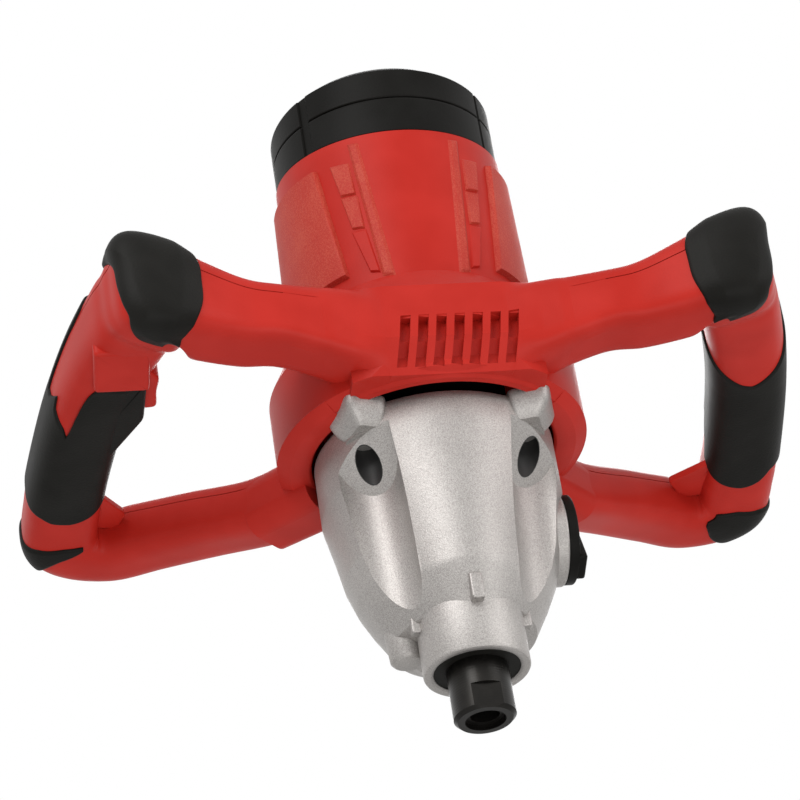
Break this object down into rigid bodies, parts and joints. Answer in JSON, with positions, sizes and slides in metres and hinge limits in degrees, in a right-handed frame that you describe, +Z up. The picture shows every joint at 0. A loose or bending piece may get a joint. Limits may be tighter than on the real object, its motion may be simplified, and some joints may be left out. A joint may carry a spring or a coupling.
{
  "type": "mixing drill",
  "caption": "Two-handled power mixer with an upright motor, cast gearbox, clamping collar and threaded spindle socket pointing down.",
  "frame": {"origin": "centre of the clamping collar's end face on the spindle axis", "axes": "+Z up along the spindle and motor, +X from the left handle to the right handle, the front faces -Y"},
  "size_m": [0.3384, 0.2112, 0.3053],
  "materials": {
    "red": "satin moulded",
    "black": "matt moulded",
    "rubber": "matt rubber",
    "cast": "sand-textured casting",
    "steel": "machined",
    "oxide": "black oxide",
    "copper": "enamelled",
    "carbon": "carbon block"
  },
  "bodies": {
    "housing": {"motor_housing": "red", "end_cap": "black", "gearbox_housing": "cast", "gearbox_screws": "steel", "middle_plate": "cast", "fork_rod": "steel", "bearing_plate": "cast", "spindle_seal": "rubber", "spindle_lower_bearing": "steel", "spindle_upper_bearing": "steel", "layshaft_lower_bush": "steel", "layshaft_upper_bearing": "steel", "armature_lower_bearing": "steel", "armature_upper_bearing": "steel", "bearing_bracket": "black", "stator_core": "steel", "field_coil_front": "copper", "field_coil_rear": "copper", "brush_right": "carbon", "brush_left": "carbon", "brush_holder_right": "black", "brush_holder_left": "black", "handle_right_base": "red", "handle_right_lid": "red", "handle_left_base": "red", "handle_left_lid": "red", "grip_right": "rubber", "grip_left": "rubber", "front_bumper_right": "rubber", "front_bumper_left": "rubber", "rear_bumper_right": "rubber", "rear_bumper_left": "rubber", "cable_inlet": "rubber", "switch_body": "black"},
    "armature": {"armature_shaft": "steel", "armature_core": "steel", "armature_winding_lower": "copper", "armature_winding_upper": "copper", "commutator": "copper", "fan": "black"},
    "layshaft": {"layshaft": "steel", "layshaft_gear": "steel"},
    "spindle": {"spindle": "oxide", "low_gear": "steel"},
    "high_gear": {"high_gear": "steel"},
    "shift_sleeve": {"shift_sleeve": "steel"},
    "shift_fork": {"shift_fork": "steel"},
    "selector_knob": {"selector_knob": "black"},
    "trigger": {"trigger": "red"}
  },
  "joints": [
    {"name": "armature_spin", "type": "hinge", "parent": "housing", "child": "armature", "pos_m": [0, 0.01483, 0.06], "axis": [0, 0, 1], "continuous": true},
    {"name": "layshaft_spin", "type": "hinge", "parent": "housing", "child": "layshaft", "pos_m": [-0.02423, 0.013, 0.06], "axis": [0, 0, 1], "continuous": true},
    {"name": "spindle_spin", "type": "hinge", "parent": "housing", "child": "spindle", "pos_m": [0, 0, 0.06], "axis": [0, 0, 1], "continuous": true},
    {"name": "high_gear_spin", "type": "hinge", "parent": "housing", "child": "high_gear", "pos_m": [0, 0, 0.06], "axis": [0, 0, 1], "continuous": true},
    {"name": "selector_turn", "type": "hinge", "parent": "housing", "child": "selector_knob", "pos_m": [0.0503, 0.01483, 0.067], "axis": [-1, 0, 0], "range_deg": [0, 45]},
    {"name": "fork_slide", "type": "slide", "parent": "housing", "child": "shift_fork", "axis": [0, 0, -1], "range_m": [0, 0.0032]},
    {"name": "sleeve_slide", "type": "slide", "parent": "spindle", "child": "shift_sleeve", "axis": [0, 0, -1], "range_m": [0, 0.0032]},
    {"name": "trigger_press", "type": "slide", "parent": "housing", "child": "trigger", "axis": [-1, 0, 0], "range_m": [0, 0.004], "stiffness_N_per_m": 900, "springref_m": -0.002}
  ],
  "couplings": [
    {"joint": "layshaft_spin", "follows": "armature_spin", "ratio": -0.17391},
    {"joint": "spindle_spin", "follows": "armature_spin", "ratio": 0.034026},
    {"joint": "high_gear_spin", "follows": "armature_spin", "ratio": 0.059385},
    {"joint": "selector_turn", "follows": "fork_slide", "rad_per_m": 245.43},
    {"joint": "sleeve_slide", "follows": "fork_slide", "ratio": 1}
  ]
}
